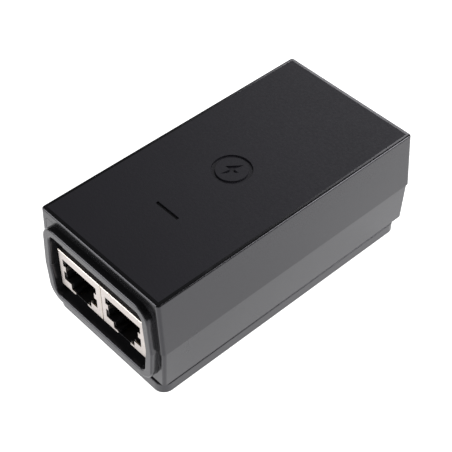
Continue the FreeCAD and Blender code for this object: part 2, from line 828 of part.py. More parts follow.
def stepped_window(centre, half, top, shoulder_half, shoulder, throat_half, throat, low):
    """The outline of a plug opening: wide above, stepped in twice for the plug's latch below."""
    right = [(throat_half, low), (throat_half, throat), (shoulder_half, throat)]
    right += [(shoulder_half, shoulder), (half, shoulder), (half, top)]
    return [(f"{centre} + ({x})", z) for x, z in right] + [(f"{centre} - ({x})", z) for x, z in reversed(right)]


def make_jack_shield(model, side, centre):
    """Folded sheet-metal shell of one jack: stepped window, grounding fingers, open below."""
    piece = Piece(model.doc, f"{side}_jack_shield")
    half = "jack_width / 2"
    outline = rect(f"{centre} - {half}", f"{centre} + {half}", BOARD_TOP, JACK_TOP)
    piece.pad("XZ", JACK_FACE, JACK_BACK, outline)
    face = -DIMENSIONS["body_length"] / 2 - DIMENSIONS["jack_proud"]
    piece.fillet("shield_edge", lambda edge: at_level(edge, "y", face) and middle(edge).z > NEAR)
    inside = rect(
        f"{centre} - {half} + shield_wall",
        f"{centre} + {half} - shield_wall",
        f"{JACK_FACE} + shield_wall",
        f"{JACK_BACK} - shield_wall",
    )
    piece.cut("XY", f"{BOARD_TOP} - 1", f"{JACK_TOP} - shield_wall", inside)
    window = stepped_window(
        centre,
        "window_width / 2",
        f"{JACK_TOP} - window_drop",
        "shoulder_width / 2",
        f"{BOARD_TOP} + shoulder_rise",
        "throat_width / 2",
        f"{BOARD_TOP} + throat_rise",
        f"{BOARD_TOP} - 1",
    )
    piece.cut("XZ", f"{JACK_FACE} - 1", f"{JACK_FACE} + 2 * shield_wall", window)
    for sign in ("-", "+"):
        inner = f"{centre} {sign} (window_width / 2 - finger_width)"
        outer = f"{centre} {sign} (window_width / 2 + shield_wall)"
        low = f"{BOARD_TOP} + finger_rise"
        high = f"{low} + finger_height"
        piece.pad("XZ", JACK_FACE, f"{JACK_FACE} + shield_wall", rect(inner, outer, low, high))
    return model.add(piece.body)


def make_jack_insulator(model, side, centre):
    """Moulded body inside one shield: plug cavity, latch slot and the comb that the contacts lie in."""
    piece = Piece(model.doc, f"{side}_jack_insulator")
    half = "jack_width / 2 - shield_wall - fit_gap"
    front = f"{JACK_FACE} + insulator_setback"
    back = f"{JACK_BACK} - shield_wall - tail_back_gap"
    top = f"{JACK_TOP} - shield_wall - insulator_roof_gap"
    piece.pad("XZ", front, back, rect(f"{centre} - ({half})", f"{centre} + ({half})", BOARD_TOP, top))
    cavity = stepped_window(
        centre,
        "plug_width / 2",
        f"{JACK_TOP} - plug_top_drop",
        "latch_width / 2",
        f"{BOARD_TOP} + shoulder_rise + fit_gap",
        "throat_width / 2 - fit_gap",
        f"{BOARD_TOP} + latch_rise",
        f"{BOARD_TOP} + fit_gap",
    )
    piece.cut("XZ", f"{front} - 1", f"{JACK_FACE} + plug_depth", cavity)
    comb = rect(
        f"{centre} - comb_width / 2",
        f"{centre} + comb_width / 2",
        f"{JACK_FACE} + comb_start",
        f"{JACK_FACE} + plug_depth",
    )
    piece.cut("XY", f"{JACK_TOP} - plug_top_drop - 1", f"{top} + 1", comb)
    return model.add(piece.body)


def contact_centres(centre):
    """The places of a jack's contacts across its width."""
    count = DIMENSIONS["contact_count"]
    return [f"({centre} + {2 * i + 1 - count} * contact_pitch / 2)" for i in range(count)]


def make_jack_contacts(model, side, centre):
    """Sprung arms that slope into the plug cavity, and the fixed wires behind them down to the board."""
    arms = []
    tails = []
    run_high = f"{JACK_TOP} - shield_wall - fit_gap / 2"
    run_low = f"{run_high} - contact_thickness"
    back = f"{JACK_BACK} - shield_wall - fit_gap"
    pivot_y = f"{JACK_FACE} + contact_pivot_from_face"
    pivot_z = f"{JACK_TOP} - contact_pivot_drop"
    slope = "contact_angle * 1 deg"
    half = "contact_thickness / 2"
    for number, across in enumerate(contact_centres(centre), start=1):
        x = (f"{across} - contact_width / 2", f"{across} + contact_width / 2")
        blade = model.primitive(
            "Part::Box",
            f"{side}_blade_{number}",
            {"Length": "contact_width", "Width": "contact_length", "Height": "contact_thickness"},
            (x[0], f"{pivot_y} - {half} * sin({slope})", f"{pivot_z} - {half} * cos({slope})"),
        )
        blade.setExpression("Placement.Rotation.Angle", formula("contact_angle"))
        blade.Placement.Rotation = FreeCAD.Rotation(FreeCAD.Vector(-1, 0, 0), DIMENSIONS["contact_angle"])
        root = model.rod(f"{side}_root_{number}", "x", (x[0], pivot_y, pivot_z), half, "contact_width")
        arms.append(model.fuse(f"{side}_arm_{number}", [blade, root]))
        pieces = [
            model.box(f"{side}_run_{number}", x, (f"{JACK_FACE} + tail_from_face", back), (run_low, run_high)),
            model.box(
                f"{side}_drop_{number}",
                x,
                (f"{JACK_FACE} + tail_from_face", f"{JACK_FACE} + tail_from_face + contact_thickness"),
                (f"{pivot_z} - {half}", run_high),
            ),
            model.box(f"{side}_leg_{number}", x, (f"{back} - contact_thickness", back), (BOARD_TOP, run_high)),
        ]
        tails.append(model.fuse(f"{side}_tail_{number}", pieces))
    model.add(model.group(f"{side}_jack_contacts", arms))
    model.add(model.group(f"{side}_jack_tails", tails))


def make_jacks(model):
    """The two jacks, side by side on the board's front edge."""
    for side, sign in (("left", "-"), ("right", "")):
        centre = f"({sign}jack_pitch / 2)"
        make_jack_shield(model, side, centre)
        make_jack_insulator(model, side, centre)
        make_jack_contacts(model, side, centre)


def inlet_pins():
    """The three blades of the mains inlet: line and neutral low at the sides, earth high in the middle."""
    return [
        ("line", "-pin_spread", f"({INLET_MID} - pin_offset)"),
        ("earth", "0", f"({INLET_MID} + pin_offset)"),
        ("neutral", "pin_spread", f"({INLET_MID} - pin_offset)"),
    ]


def make_inlet(model):
    """Three-pin mains inlet: a block with the standard socket cavity, ears behind the rear wall, and blades."""
    piece = Piece(model.doc, "ac_inlet_body")
    piece.pad("XZ", INLET_FRONT, INLET_BACK, centred("inlet_width / 2", BOARD_TOP, INLET_TOP))
    ear_back = f"{REAR} - side_wall - fit_gap"
    ear = centred(
        "inlet_width / 2 + inlet_ear",
        f"{INLET_MID} - inlet_ear_height / 2",
        f"{INLET_MID} + inlet_ear_height / 2",
    )
    piece.pad("XZ", f"{ear_back} - inlet_ear_thickness", ear_back, ear)
    half = "inlet_cavity_width / 2"
    low = f"{INLET_MID} - inlet_cavity_height / 2"
    high = f"{INLET_MID} + inlet_cavity_height / 2"
    cut = "inlet_cavity_cut"
    cavity = mirrored((half, low), (half, f"{high} - {cut}"), (f"{half} - {cut}", high))
    piece.cut("XZ", f"{INLET_BACK} - inlet_cavity_depth", f"{INLET_BACK} + 1", cavity)
    holes = [
        rect(
            f"{x} - pin_thickness / 2",
            f"{x} + pin_thickness / 2",
            f"{z} - pin_height / 2",
            f"{z} + pin_height / 2",
        )
        for _, x, z in inlet_pins()
    ]
    piece.cut("XZ", f"{INLET_FRONT} - 1", f"{INLET_BACK} - inlet_cavity_depth + 1", *holes)
    rear = reach(piece.body.Shape, "y")
    outer = reach(piece.body.Shape, "z")
    piece.fillet("inlet_edge", lambda edge: spans(edge, "y") and touches(edge, "y", rear) and touches(edge, "z", outer))
    model.add(piece.body)
    blades = []
    for name, x, z in inlet_pins():
        across = (f"{x} - pin_thickness / 2", f"{x} + pin_thickness / 2")
        blade = model.box(
            f"{name}_blade",
            across,
            (f"{INLET_FRONT} - pin_tail", f"{INLET_BACK} - pin_recess"),
            (f"{z} - pin_height / 2", f"{z} + pin_height / 2"),
        )
        tail = model.box(
            f"{name}_tail",
            across,
            (f"{INLET_FRONT} - pin_tail", f"{INLET_FRONT} - pin_tail + pin_tail_thickness"),
            (BOARD_TOP, f"{z} + pin_height / 2"),
        )
        blades.append(model.fuse(f"{name}_pin", [blade, tail]))
    model.add(model.group("ac_inlet_pins", blades))


def make_block(model, node, prefix):
    """A rectangular component that sits on the board."""
    model.add(
        model.box(
            node,
            (f"{prefix}_x - {prefix}_width / 2", f"{prefix}_x + {prefix}_width / 2"),
            (f"{prefix}_y - {prefix}_depth / 2", f"{prefix}_y + {prefix}_depth / 2"),
            (BOARD_TOP, f"{BOARD_TOP} + {prefix}_height"),
        )
    )


def make_lying_part(model, node, prefix):
    """A round component that lies along the board on two bent leads."""
    y_low = f"{prefix}_y - {prefix}_length / 2"
    centre_z = f"{BOARD_TOP} + {prefix}_lift + {prefix}_radius"
    parts = [model.rod(f"{node}_tube", "y", (f"{prefix}_x", y_low, centre_z), f"{prefix}_radius", f"{prefix}_length")]
    for end, y in (("front", f"{y_low} + 2 * lead_radius"), ("rear", f"{y_low} + {prefix}_length - 2 * lead_radius")):
        height = f"{prefix}_lift + {prefix}_radius"
        parts.append(model.rod(f"{node}_{end}_lead", "z", (f"{prefix}_x", y, BOARD_TOP), "lead_radius", height))
    model.add(model.fuse(node, parts))


def make_disc(model, node, prefix):
    """A disc component that stands on two leads."""
    x_low = f"{prefix}_x - {prefix}_thickness / 2"
    centre_z = f"{BOARD_TOP} + {prefix}_lift + {prefix}_radius"
    parts = [
        model.rod(f"{node}_disc", "x", (x_low, f"{prefix}_y", centre_z), f"{prefix}_radius", f"{prefix}_thickness")
    ]
    for end, sign in (("front", "-"), ("rear", "+")):
        y = f"{prefix}_y {sign} {prefix}_radius / 2"
        height = f"{prefix}_lift + {prefix}_radius"
        parts.append(model.rod(f"{node}_{end}_lead", "z", (f"{prefix}_x", y, BOARD_TOP), "lead_radius", height))
    model.add(model.fuse(node, parts))


def make_can(model, name, x, y, radius, height):
    """A round capacitor can with the rolled groove near its foot."""
    can = model.rod(f"{name}_can", "z", (x, y, BOARD_TOP), radius, height)
    groove_z = f"{BOARD_TOP} + can_groove_rise"
    outer = model.rod(f"{name}_groove_outer", "z", (x, y, groove_z), f"{radius} + 1", "can_groove")
    inner = model.rod(f"{name}_groove_inner", "z", (x, y, groove_z), f"{radius} - can_groove", "can_groove")
    return model.minus(name, can, model.minus(f"{name}_groove", outer, inner))


def make_line_choke(model):
    """Ring core that stands across the board, with its two windings as C-shaped halves."""
    centre_z = f"({BOARD_TOP} + choke_lift + choke_wire + choke_radius)"

    def ring(name, outer, inner, thickness):
        place = ("choke_x", f"choke_y - ({thickness}) / 2", centre_z)
        disc = model.rod(f"{name}_disc", "y", place, outer, thickness)
        return model.minus(name, disc, model.rod(f"{name}_bore", "y", place, inner, thickness))

    model.add(ring("line_choke_core", "choke_radius", "choke_bore", "choke_thickness"))
    gap = "coil_gap / 2"
    thick = "choke_thickness + 2 * choke_wire"
    outside = ring("choke_wire_outside", "choke_radius + choke_wire", "choke_bore - choke_wire", thick)
    inside = ring("choke_wire_inside", f"choke_radius + {gap}", f"choke_bore - {gap}", f"choke_thickness + 2 * {gap}")
    hollow = model.minus("choke_wire_ring", outside, inside)
    reach = "(choke_radius + choke_wire + 1)"
    split = model.box(
        "choke_split_block",
        ("choke_x - choke_split / 2", "choke_x + choke_split / 2"),
        (f"choke_y - {reach}", f"choke_y + {reach}"),
        (f"{centre_z} - {reach}", f"{centre_z} + {reach}"),
    )
    model.add(model.minus("line_choke_winding", hollow, split))


def make_transformer(model):
    """Ferrite core with two windows, its bobbin on the centre leg, and the winding between the flanges."""
    core_low = f"({BOARD_TOP} + core_lift)"
    core_high = f"({core_low} + core_height)"
    window_low = f"({core_low} + core_yoke)"
    window_high = f"({core_high} - core_yoke)"
    core = Piece(model.doc, "transformer_core")
    y_low, y_high = ("core_y - core_depth / 2", "core_y + core_depth / 2")
    x_outer = "core_width / 2"
    core.pad("XZ", y_low, y_high, rect(f"core_x - {x_outer}", f"core_x + {x_outer}", core_low, core_high))
    side = "core_width / 2 - core_yoke"
    windows = [
        rect(f"core_x - ({side})", "core_x - core_leg / 2", window_low, window_high),
        rect("core_x + core_leg / 2", f"core_x + ({side})", window_low, window_high),
    ]
    core.cut("XZ", y_low, y_high, *windows)
    model.add(core.body)

    bobbin = Piece(model.doc, "transformer_bobbin")
    inner_x = "core_leg / 2 + coil_gap"
    inner_y = "core_depth / 2 + coil_gap"

    def around(grow_x, grow_y):
        return rect(f"core_x - ({grow_x})", f"core_x + ({grow_x})", f"core_y - ({grow_y})", f"core_y + ({grow_y})")

    low = f"{window_low} + coil_gap"
    high = f"{window_high} - coil_gap"
    flange = around("bobbin_reach", "bobbin_reach")
    bobbin.pad("XY", low, high, around(f"{inner_x} + bobbin_wall", f"{inner_y} + bobbin_wall"))
    bobbin.pad("XY", low, f"{low} + bobbin_flange", flange)
    bobbin.pad("XY", f"{high} - bobbin_flange", high, flange)
    feet = [
        rect("core_x - bobbin_reach", "core_x + bobbin_reach", f"core_y {s} ({a})", f"core_y {s} ({b})")
        for s, a, b in (("-", "bobbin_reach", inner_y), ("+", inner_y, "bobbin_reach"))
    ]
    bobbin.pad("XY", BOARD_TOP, low, *feet)
    bobbin.cut("XY", f"{low} - 1", f"{high} + 1", around(inner_x, inner_y))
    model.add(bobbin.body)

    winding = Piece(model.doc, "transformer_winding")
    wind_low = f"{low} + bobbin_flange + coil_gap"
    wind_high = f"{high} - bobbin_flange - coil_gap"
    winding.pad("XY", wind_low, wind_high, around("winding_reach", "winding_reach"))
    winding.fillet("winding_round", lambda edge: spans(edge, "z"))
    tube = around(f"{inner_x} + bobbin_wall + coil_gap", f"{inner_y} + bobbin_wall + coil_gap")
    winding.cut("XY", wind_low, wind_high, tube)
    model.add(winding.body)


def make_output_choke(model):
    """Drum choke: two flanges and a wound waist."""
    place = ("output_choke_x", "output_choke_y")
    top = f"{BOARD_TOP} + output_choke_height - output_choke_flange"
    parts = [
        model.rod("drum_foot", "z", (*place, BOARD_TOP), "output_choke_radius", "output_choke_flange"),
        model.rod("drum_waist", "z", (*place, BOARD_TOP), "output_choke_waist", "output_choke_height"),
        model.rod("drum_head", "z", (*place, top), "output_choke_radius", "output_choke_flange"),
    ]
    model.add(model.fuse("output_choke", parts))


def make_components(model):
    """Everything that is soldered to the board between the inlet and the jacks."""
    make_lying_part(model, "fuse", "fuse")
    make_disc(model, "varistor", "varistor")
    make_block(model, "line_filter_capacitor", "filter_cap")
    make_line_choke(model)
    make_block(model, "bridge_rectifier", "bridge")
    bulk = make_can(model, "bulk_capacitor", "bulk_cap_x", "bulk_cap_y", "bulk_cap_radius", "bulk_cap_height")
    model.add(bulk)
    make_block(model, "power_switch_ic", "switch")
    make_transformer(model)
    make_block(model, "optocoupler", "opto")
    make_disc(model, "safety_capacitor", "safety_cap")
    make_lying_part(model, "output_diode", "diode")
    cans = [
        make_can(
            model,
            f"output_capacitor_{side}",
            f"output_cap_{side}_x",
            f"output_cap_{side}_y",
            "output_cap_radius",
            "output_cap_height",
        )
        for side in ("left", "right")
    ]
    model.add(model.group("output_capacitors", cans))
    make_output_choke(model)


def make_bracket(model):
    """Wall bracket: a skirted plate with a raised land, four keyhole slots, two screw bosses, a latch window."""
    size = DIMENSIONS
    piece = Piece(model.doc, "wall_bracket")
    piece.pad("XY", "0", "bracket_height", centred("bracket_width / 2", BRACKET_FRONT, BRACKET_REAR))
    piece.fillet("bracket_corner", lambda edge: spans(edge, "z"))
    high = size["bracket_height"]
    piece.fillet("bracket_edge", lambda edge: at_level(edge, "z", high))
    land = centred(
        "bracket_width / 2 - land_inset", f"{BRACKET_FRONT} + land_inset", f"{BRACKET_REAR} - land_inset"
    )
    piece.pad("XY", "bracket_height", LAND_TOP, land)
    hollow = centred(
        "bracket_width / 2 - bracket_skirt", f"{BRACKET_FRONT} + bracket_skirt", f"{BRACKET_REAR} - bracket_skirt"
    )
    piece.cut("XY", "0", PLATE_BOTTOM, hollow)
    screws = [f"screw_centre_y {sign} screw_spacing / 2" for sign in ("-", "+")]
    piece.pad("XY", "0", PLATE_BOTTOM, *[Circle("0", y, "boss_radius") for y in screws])
    piece.pad("XY", "0", PLATE_BOTTOM, centred("spine_width / 2", *screws))
    slots = []
    for side in ("", "-"):
        for place in ("lug_front_y", "lug_rear_y"):
            x = f"{side}lug_spread"
            neck = "(lug_neck / 2 + lug_side_gap)"
            foot = "(lug_foot / 2 + lug_side_gap)"
            low = f"{place} - lug_length / 2 - lug_end_gap"
            step = f"{place} + slide_travel - lug_length / 2 - lug_end_gap"
            end = f"{place} + slide_travel + lug_length / 2 + lug_end_gap"
            right = [(neck, low), (neck, step), (foot, step), (foot, end)]
            slots.append([(f"{x} + {a}", b) for a, b in right] + [(f"{x} - {a}", b) for a, b in reversed(right)])
    piece.cut("XY", f"{PLATE_BOTTOM} - slide_gap", f"{BASE_Z} + 1", *slots)
    opening = centred(
        "latch_half_width + latch_side_gap",
        "latch_root_y - latch_thickness / 2 - latch_root_gap",
        f"{BRACKET_REAR} + 1",
    )
    piece.cut("XY", "-1", f"{BASE_Z} + 1", opening)
    piece.cut("XY", "-1", f"{BASE_Z} + 1", *[Circle("0", y, "screw_radius") for y in screws])
    head_z = f"{LAND_TOP} - screw_head_depth"
    piece.cut("XY", head_z, f"{BASE_Z} + 1", *[Circle("0", y, "screw_head_radius") for y in screws])
    model.add(piece.body)


def make_latch(model):
    """Sprung tongue in the bracket's window: a round root, and a ramped bump that sits in the case's recess."""
    half = "latch_half_width"
    low = f"{LATCH_TOP} - latch_thickness"
    tip = f"{BRACKET_REAR} - latch_end_inset"
    root = model.rod(
        "latch_root",
        "x",
        (f"-{half}", "latch_root_y", f"{LATCH_TOP} - latch_thickness / 2"),
        "latch_thickness / 2",
        f"2 * {half}",
    )
    blade = model.box("latch_blade", (f"-{half}", half), ("latch_root_y", tip), (low, LATCH_TOP))
    bump = Piece(model.doc, "latch_bump")
    ramp = [
        ("bump_y", low),
        (BUMP_END, low),
        (BUMP_END, f"{LAND_TOP} + bump_rise"),
        ("bump_y", LAND_TOP),
    ]
    bump.pad("YZ", "-bump_half_width", "bump_half_width", ramp)
    model.add(model.fuse("bracket_latch", [root, blade, bump.body]))


def check(model):
    """Stops if any object failed or any sub-part's shape is missing or broken."""
    model.doc.recompute()
    for item in model.doc.Objects:
        if "Invalid" in item.State or "Error" in item.State:
            raise RuntimeError(f"{item.Label} did not build: {item.State}")
    for item in model.nodes:
        if item.Shape.isNull() or not item.Shape.isValid() or not item.Shape.Solids:
            raise RuntimeError(f"{item.Label} has no sound shape")


def main():
    """Builds the injector and writes one STEP file for each sub-part."""
    model = Model()
    for make in (
        make_top_cover,
        make_bottom_case,
        make_front_bezel,
        make_light_pipe,
        make_board,
        make_jacks,
        make_inlet,
        make_components,
        make_bracket,
        make_latch,
    ):
        make(model)
    check(model)
    os.makedirs("parts", exist_ok=True)
    for item in model.nodes:
        item.Shape.exportStep(f"parts/{item.Label}.step")
        print(f"{item.Label}: {len(item.Shape.Solids)} solid(s), {item.Shape.Volume:.1f} mm3")


main()
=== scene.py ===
"""Looks of the power injector: finishes, sprung jack leaves, studio and camera.

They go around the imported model. Every length is in metres, in the model's own frame: X across
the width, Y from the jacks to the mains inlet, Z up.
"""

from __future__ import annotations

import logging
import math
from dataclasses import dataclass
from enum import Enum
from typing import Callable

import bpy
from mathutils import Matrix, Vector


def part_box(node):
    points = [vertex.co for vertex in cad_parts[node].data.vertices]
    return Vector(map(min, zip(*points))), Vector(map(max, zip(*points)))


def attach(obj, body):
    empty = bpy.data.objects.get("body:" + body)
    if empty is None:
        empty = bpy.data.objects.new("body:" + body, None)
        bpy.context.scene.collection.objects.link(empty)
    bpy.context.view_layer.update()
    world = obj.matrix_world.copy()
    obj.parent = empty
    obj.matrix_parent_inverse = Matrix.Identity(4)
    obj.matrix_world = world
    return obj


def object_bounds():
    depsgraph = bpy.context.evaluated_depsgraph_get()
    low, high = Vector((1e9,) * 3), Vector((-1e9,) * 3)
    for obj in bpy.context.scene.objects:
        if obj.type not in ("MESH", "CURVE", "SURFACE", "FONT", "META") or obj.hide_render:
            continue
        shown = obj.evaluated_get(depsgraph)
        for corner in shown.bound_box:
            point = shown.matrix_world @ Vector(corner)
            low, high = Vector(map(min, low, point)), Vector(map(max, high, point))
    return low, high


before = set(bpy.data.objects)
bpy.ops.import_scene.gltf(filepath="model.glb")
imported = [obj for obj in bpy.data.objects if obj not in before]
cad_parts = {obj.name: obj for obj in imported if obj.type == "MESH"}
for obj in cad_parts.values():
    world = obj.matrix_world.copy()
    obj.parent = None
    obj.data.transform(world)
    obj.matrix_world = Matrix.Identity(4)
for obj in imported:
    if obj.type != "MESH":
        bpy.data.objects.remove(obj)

CAD_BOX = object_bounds()
MM = 0.001
NEAR = 0.001 * MM
SMOOTH_ANGLE = math.radians(35.0)
SENSOR_WIDTH = 36.0
GRAIN_SHARE = 0.65
SPECK_FINER = 2.7
RUB_FINER = 3.0
WANDER_SCALE = 900.0
LINE_SOFTNESS = 0.6
LOG = logging.getLogger("injector")

Colour = tuple[float, float, float]
Point = tuple[float, float, float]
Socket = bpy.types.NodeSocket

WHITE: Colour = (1.0, 1.0, 1.0)


class Pattern(Enum):
    """What a finish shows over its surface."""

    GRAIN = "fine mould grain"
    BRUSHED = "lines of a rolled sheet"
    WOUND = "turns of wire"
    WEAVE = "woven glass board"


class Side(Enum):
    """Which of the two jacks."""

    LEFT = -1.0
    RIGHT = 1.0

    @property
    def word(self) -> str:
        """The side's name in a node's name."""
        return self.name.lower()


# --------------------------------------------------------------------------------------------------
# Node trees
# --------------------------------------------------------------------------------------------------


class Wiring:
    """Short ways to add and join the nodes of one tree."""

    def __init__(self, tree: bpy.types.NodeTree) -> None:
        """Keeps the tree.

        Args:
            tree: the node tree to work on.
        """
        self.tree = tree

    def add(self, kind: str, **settings: object) -> bpy.types.Node:
        """Adds a node.

        Args:
            kind: the node's type name, without its ShaderNode prefix.
            settings: properties of the node.

        Returns:
            The new node.
        """
        node = self.tree.nodes.new(kind if kind.startswith("Node") else f"ShaderNode{kind}")
        for key, setting in settings.items():
            setattr(node, key, setting)
        return node

    def feed(self, socket: Socket, source: object) -> None:
        """Links a socket, or sets it if the source is a plain number, colour or vector.

        Args:
            socket: the input to feed.
            source: an output socket, or a value.
        """
        if isinstance(source, Socket):
            self.tree.links.new(source, socket)
        else:
            socket.default_value = source

    def math(self, operation: str, *sources: object, clamp: bool = False) -> Socket:
        """One step of arithmetic.

        Args:
            operation: the Math node's operation.
            sources: its operands, sockets or numbers.
            clamp: whether the answer is kept within 0 and 1.

        Returns:
            The answer.
        """
        node = self.add("Math", operation=operation, use_clamp=clamp)
        for socket, source in zip(node.inputs, sources):
            self.feed(socket, source)
        return node.outputs[0]

    def noise(
        self, vector: Socket, scale: object, detail: float, rough: float = 0.5
    ) -> Socket:
        """Fractal noise from 0 to 1.

        Args:
            vector: where it is read.
            scale: its features for each metre.
            detail: its octaves.
            rough: how much the finer octaves count.

        Returns:
            The noise's value.
        """
        node = self.add("TexNoise")
        self.feed(node.inputs["Vector"], vector)
        self.feed(node.inputs["Scale"], scale)
        self.feed(node.inputs["Detail"], detail)
        self.feed(node.inputs["Roughness"], rough)
        return node.outputs[0]

    def spread(
        self, value: object, low: object, high: object, to_low: object, to_high: object
    ) -> Socket:
        """Maps one range of a value to another, clamped.

        Args:
            value: the value to map.
            low: where the first range starts.
            high: where it ends.
            to_low: where the second range starts.
            to_high: where it ends.

        Returns:
            The mapped value.
        """
        node = self.add("MapRange")
        for socket, source in zip(node.inputs, (value, low, high, to_low, to_high)):
            self.feed(socket, source)
        return node.outputs[0]

    def mix(self, share: object, first: object, second: object) -> Socket:
        """Blends two colours.

        Args:
            share: how much of the second shows.
            first: a colour or a socket.
            second: a colour or a socket.

        Returns:
            The blended colour.
        """
        node = self.add("Mix", data_type="RGBA")
        self.feed(node.inputs["Factor"], share)
        self.feed(node.inputs["A"], rgba(first))
        self.feed(node.inputs["B"], rgba(second))
        return node.outputs["Result"]


def rgba(colour: object) -> object:
    """Adds the fourth channel to a plain colour, and leaves a socket alone."""
    return (*colour, 1.0) if isinstance(colour, tuple) and len(colour) == 3 else colour


def new_group(
    name: str, inputs: dict[str, str], outputs: tuple[str, ...]
) -> tuple[bpy.types.NodeTree, Wiring]:
    """Starts a shader node group with named sockets.

    Args:
        name: the group's name.
        inputs: socket names and their kinds.
        outputs: names of the value outputs.

    Returns:
        The group and its wiring.
    """
    group = bpy.data.node_groups.new(name, "ShaderNodeTree")
    for socket, kind in inputs.items():
        group.interface.new_socket(socket, in_out="INPUT", socket_type=f"NodeSocket{kind}")
    for socket in outputs:
        group.interface.new_socket(socket, in_out="OUTPUT", socket_type="NodeSocketFloat")
    return group, Wiring(group)


def build_grain_group() -> bpy.types.NodeTree:
    """Moulded surface: a fine grain, a slow drift of tone, and the odd rubbed patch."""
    group, w = new_group(
        "moulded_grain",
        {"Vector": "Vector", "Fineness": "Float", "Drift": "Float"},
        ("Height", "Tone", "Rub"),
    )
    given = w.add("NodeGroupInput").outputs
    result = w.add("NodeGroupOutput").inputs
    fine = w.noise(given["Vector"], given["Fineness"], 3.0, 0.6)
    speck = w.noise(given["Vector"], w.math("MULTIPLY", given["Fineness"], SPECK_FINER), 1.0)
    grain_part = w.math("MULTIPLY", fine, GRAIN_SHARE)
    speck_part = w.math("MULTIPLY", speck, 1.0 - GRAIN_SHARE)
    w.feed(result["Height"], w.math("ADD", grain_part, speck_part))
    drift = w.noise(given["Vector"], given["Drift"], 2.0)
    w.feed(result["Tone"], w.spread(drift, 0.3, 0.7, 0.0, 1.0))
    rub = w.noise(given["Vector"], w.math("MULTIPLY", given["Drift"], RUB_FINER), 4.0, 0.7)
    w.feed(result["Rub"], w.spread(rub, 0.52, 0.75, 0.0, 1.0))
    return group


def build_lines_group() -> bpy.types.NodeTree:
    """Parallel lines along one way: turns of wire, or the marks of rolling."""
    inputs = {"Vector": "Vector", "Spacing": "Float", "Wander": "Float"}
    group, w = new_group("lines", inputs, ("Height", "Tone"))
    given = w.add("NodeGroupInput").outputs
    result = w.add("NodeGroupOutput").inputs
    split = w.add("SeparateXYZ")
    w.feed(split.inputs[0], given["Vector"])
    wander = w.math("MULTIPLY", w.noise(given["Vector"], WANDER_SCALE, 2.0), given["Wander"])
    along = w.math("ADD", w.math("MULTIPLY", split.outputs["Z"], given["Spacing"]), wander)
    wave = w.math("ABSOLUTE", w.math("SINE", along))
    w.feed(result["Height"], wave)
    w.feed(result["Tone"], w.math("POWER", wave, LINE_SOFTNESS))
    return group


def build_field_group() -> bpy.types.NodeTree:
    """Tells the textured field of the lid from the polished border round it."""
    limits = {name: "Float" for name in ("Half", "Front", "Rear", "Level", "Soft")}
    group, w = new_group("textured_field", {"Vector": "Vector", **limits}, ("Mask",))
    given = w.add("NodeGroupInput").outputs
    result = w.add("NodeGroupOutput").inputs
    split = w.add("SeparateXYZ")
    w.feed(split.inputs[0], given["Vector"])
    from_side = w.math("SUBTRACT", given["Half"], w.math("ABSOLUTE", split.outputs["X"]))
    from_front = w.math("SUBTRACT", split.outputs["Y"], given["Front"])
    from_rear = w.math("SUBTRACT", given["Rear"], split.outputs["Y"])
    nearest = w.math("MINIMUM", from_side, w.math("MINIMUM", from_front, from_rear))
    inside = w.math("DIVIDE", nearest, given["Soft"], clamp=True)
    above = w.math("GREATER_THAN", split.outputs["Z"], given["Level"])
    w.feed(result["Mask"], w.math("MULTIPLY", inside, above))
    return group


class Groups:
    """The effects that several finishes share, each built once."""

    def __init__(self) -> None:
        """Builds the three groups."""
        self.grain = build_grain_group()
        self.lines = build_lines_group()
        self.field = build_field_group()


# --------------------------------------------------------------------------------------------------
# Finishes
# --------------------------------------------------------------------------------------------------


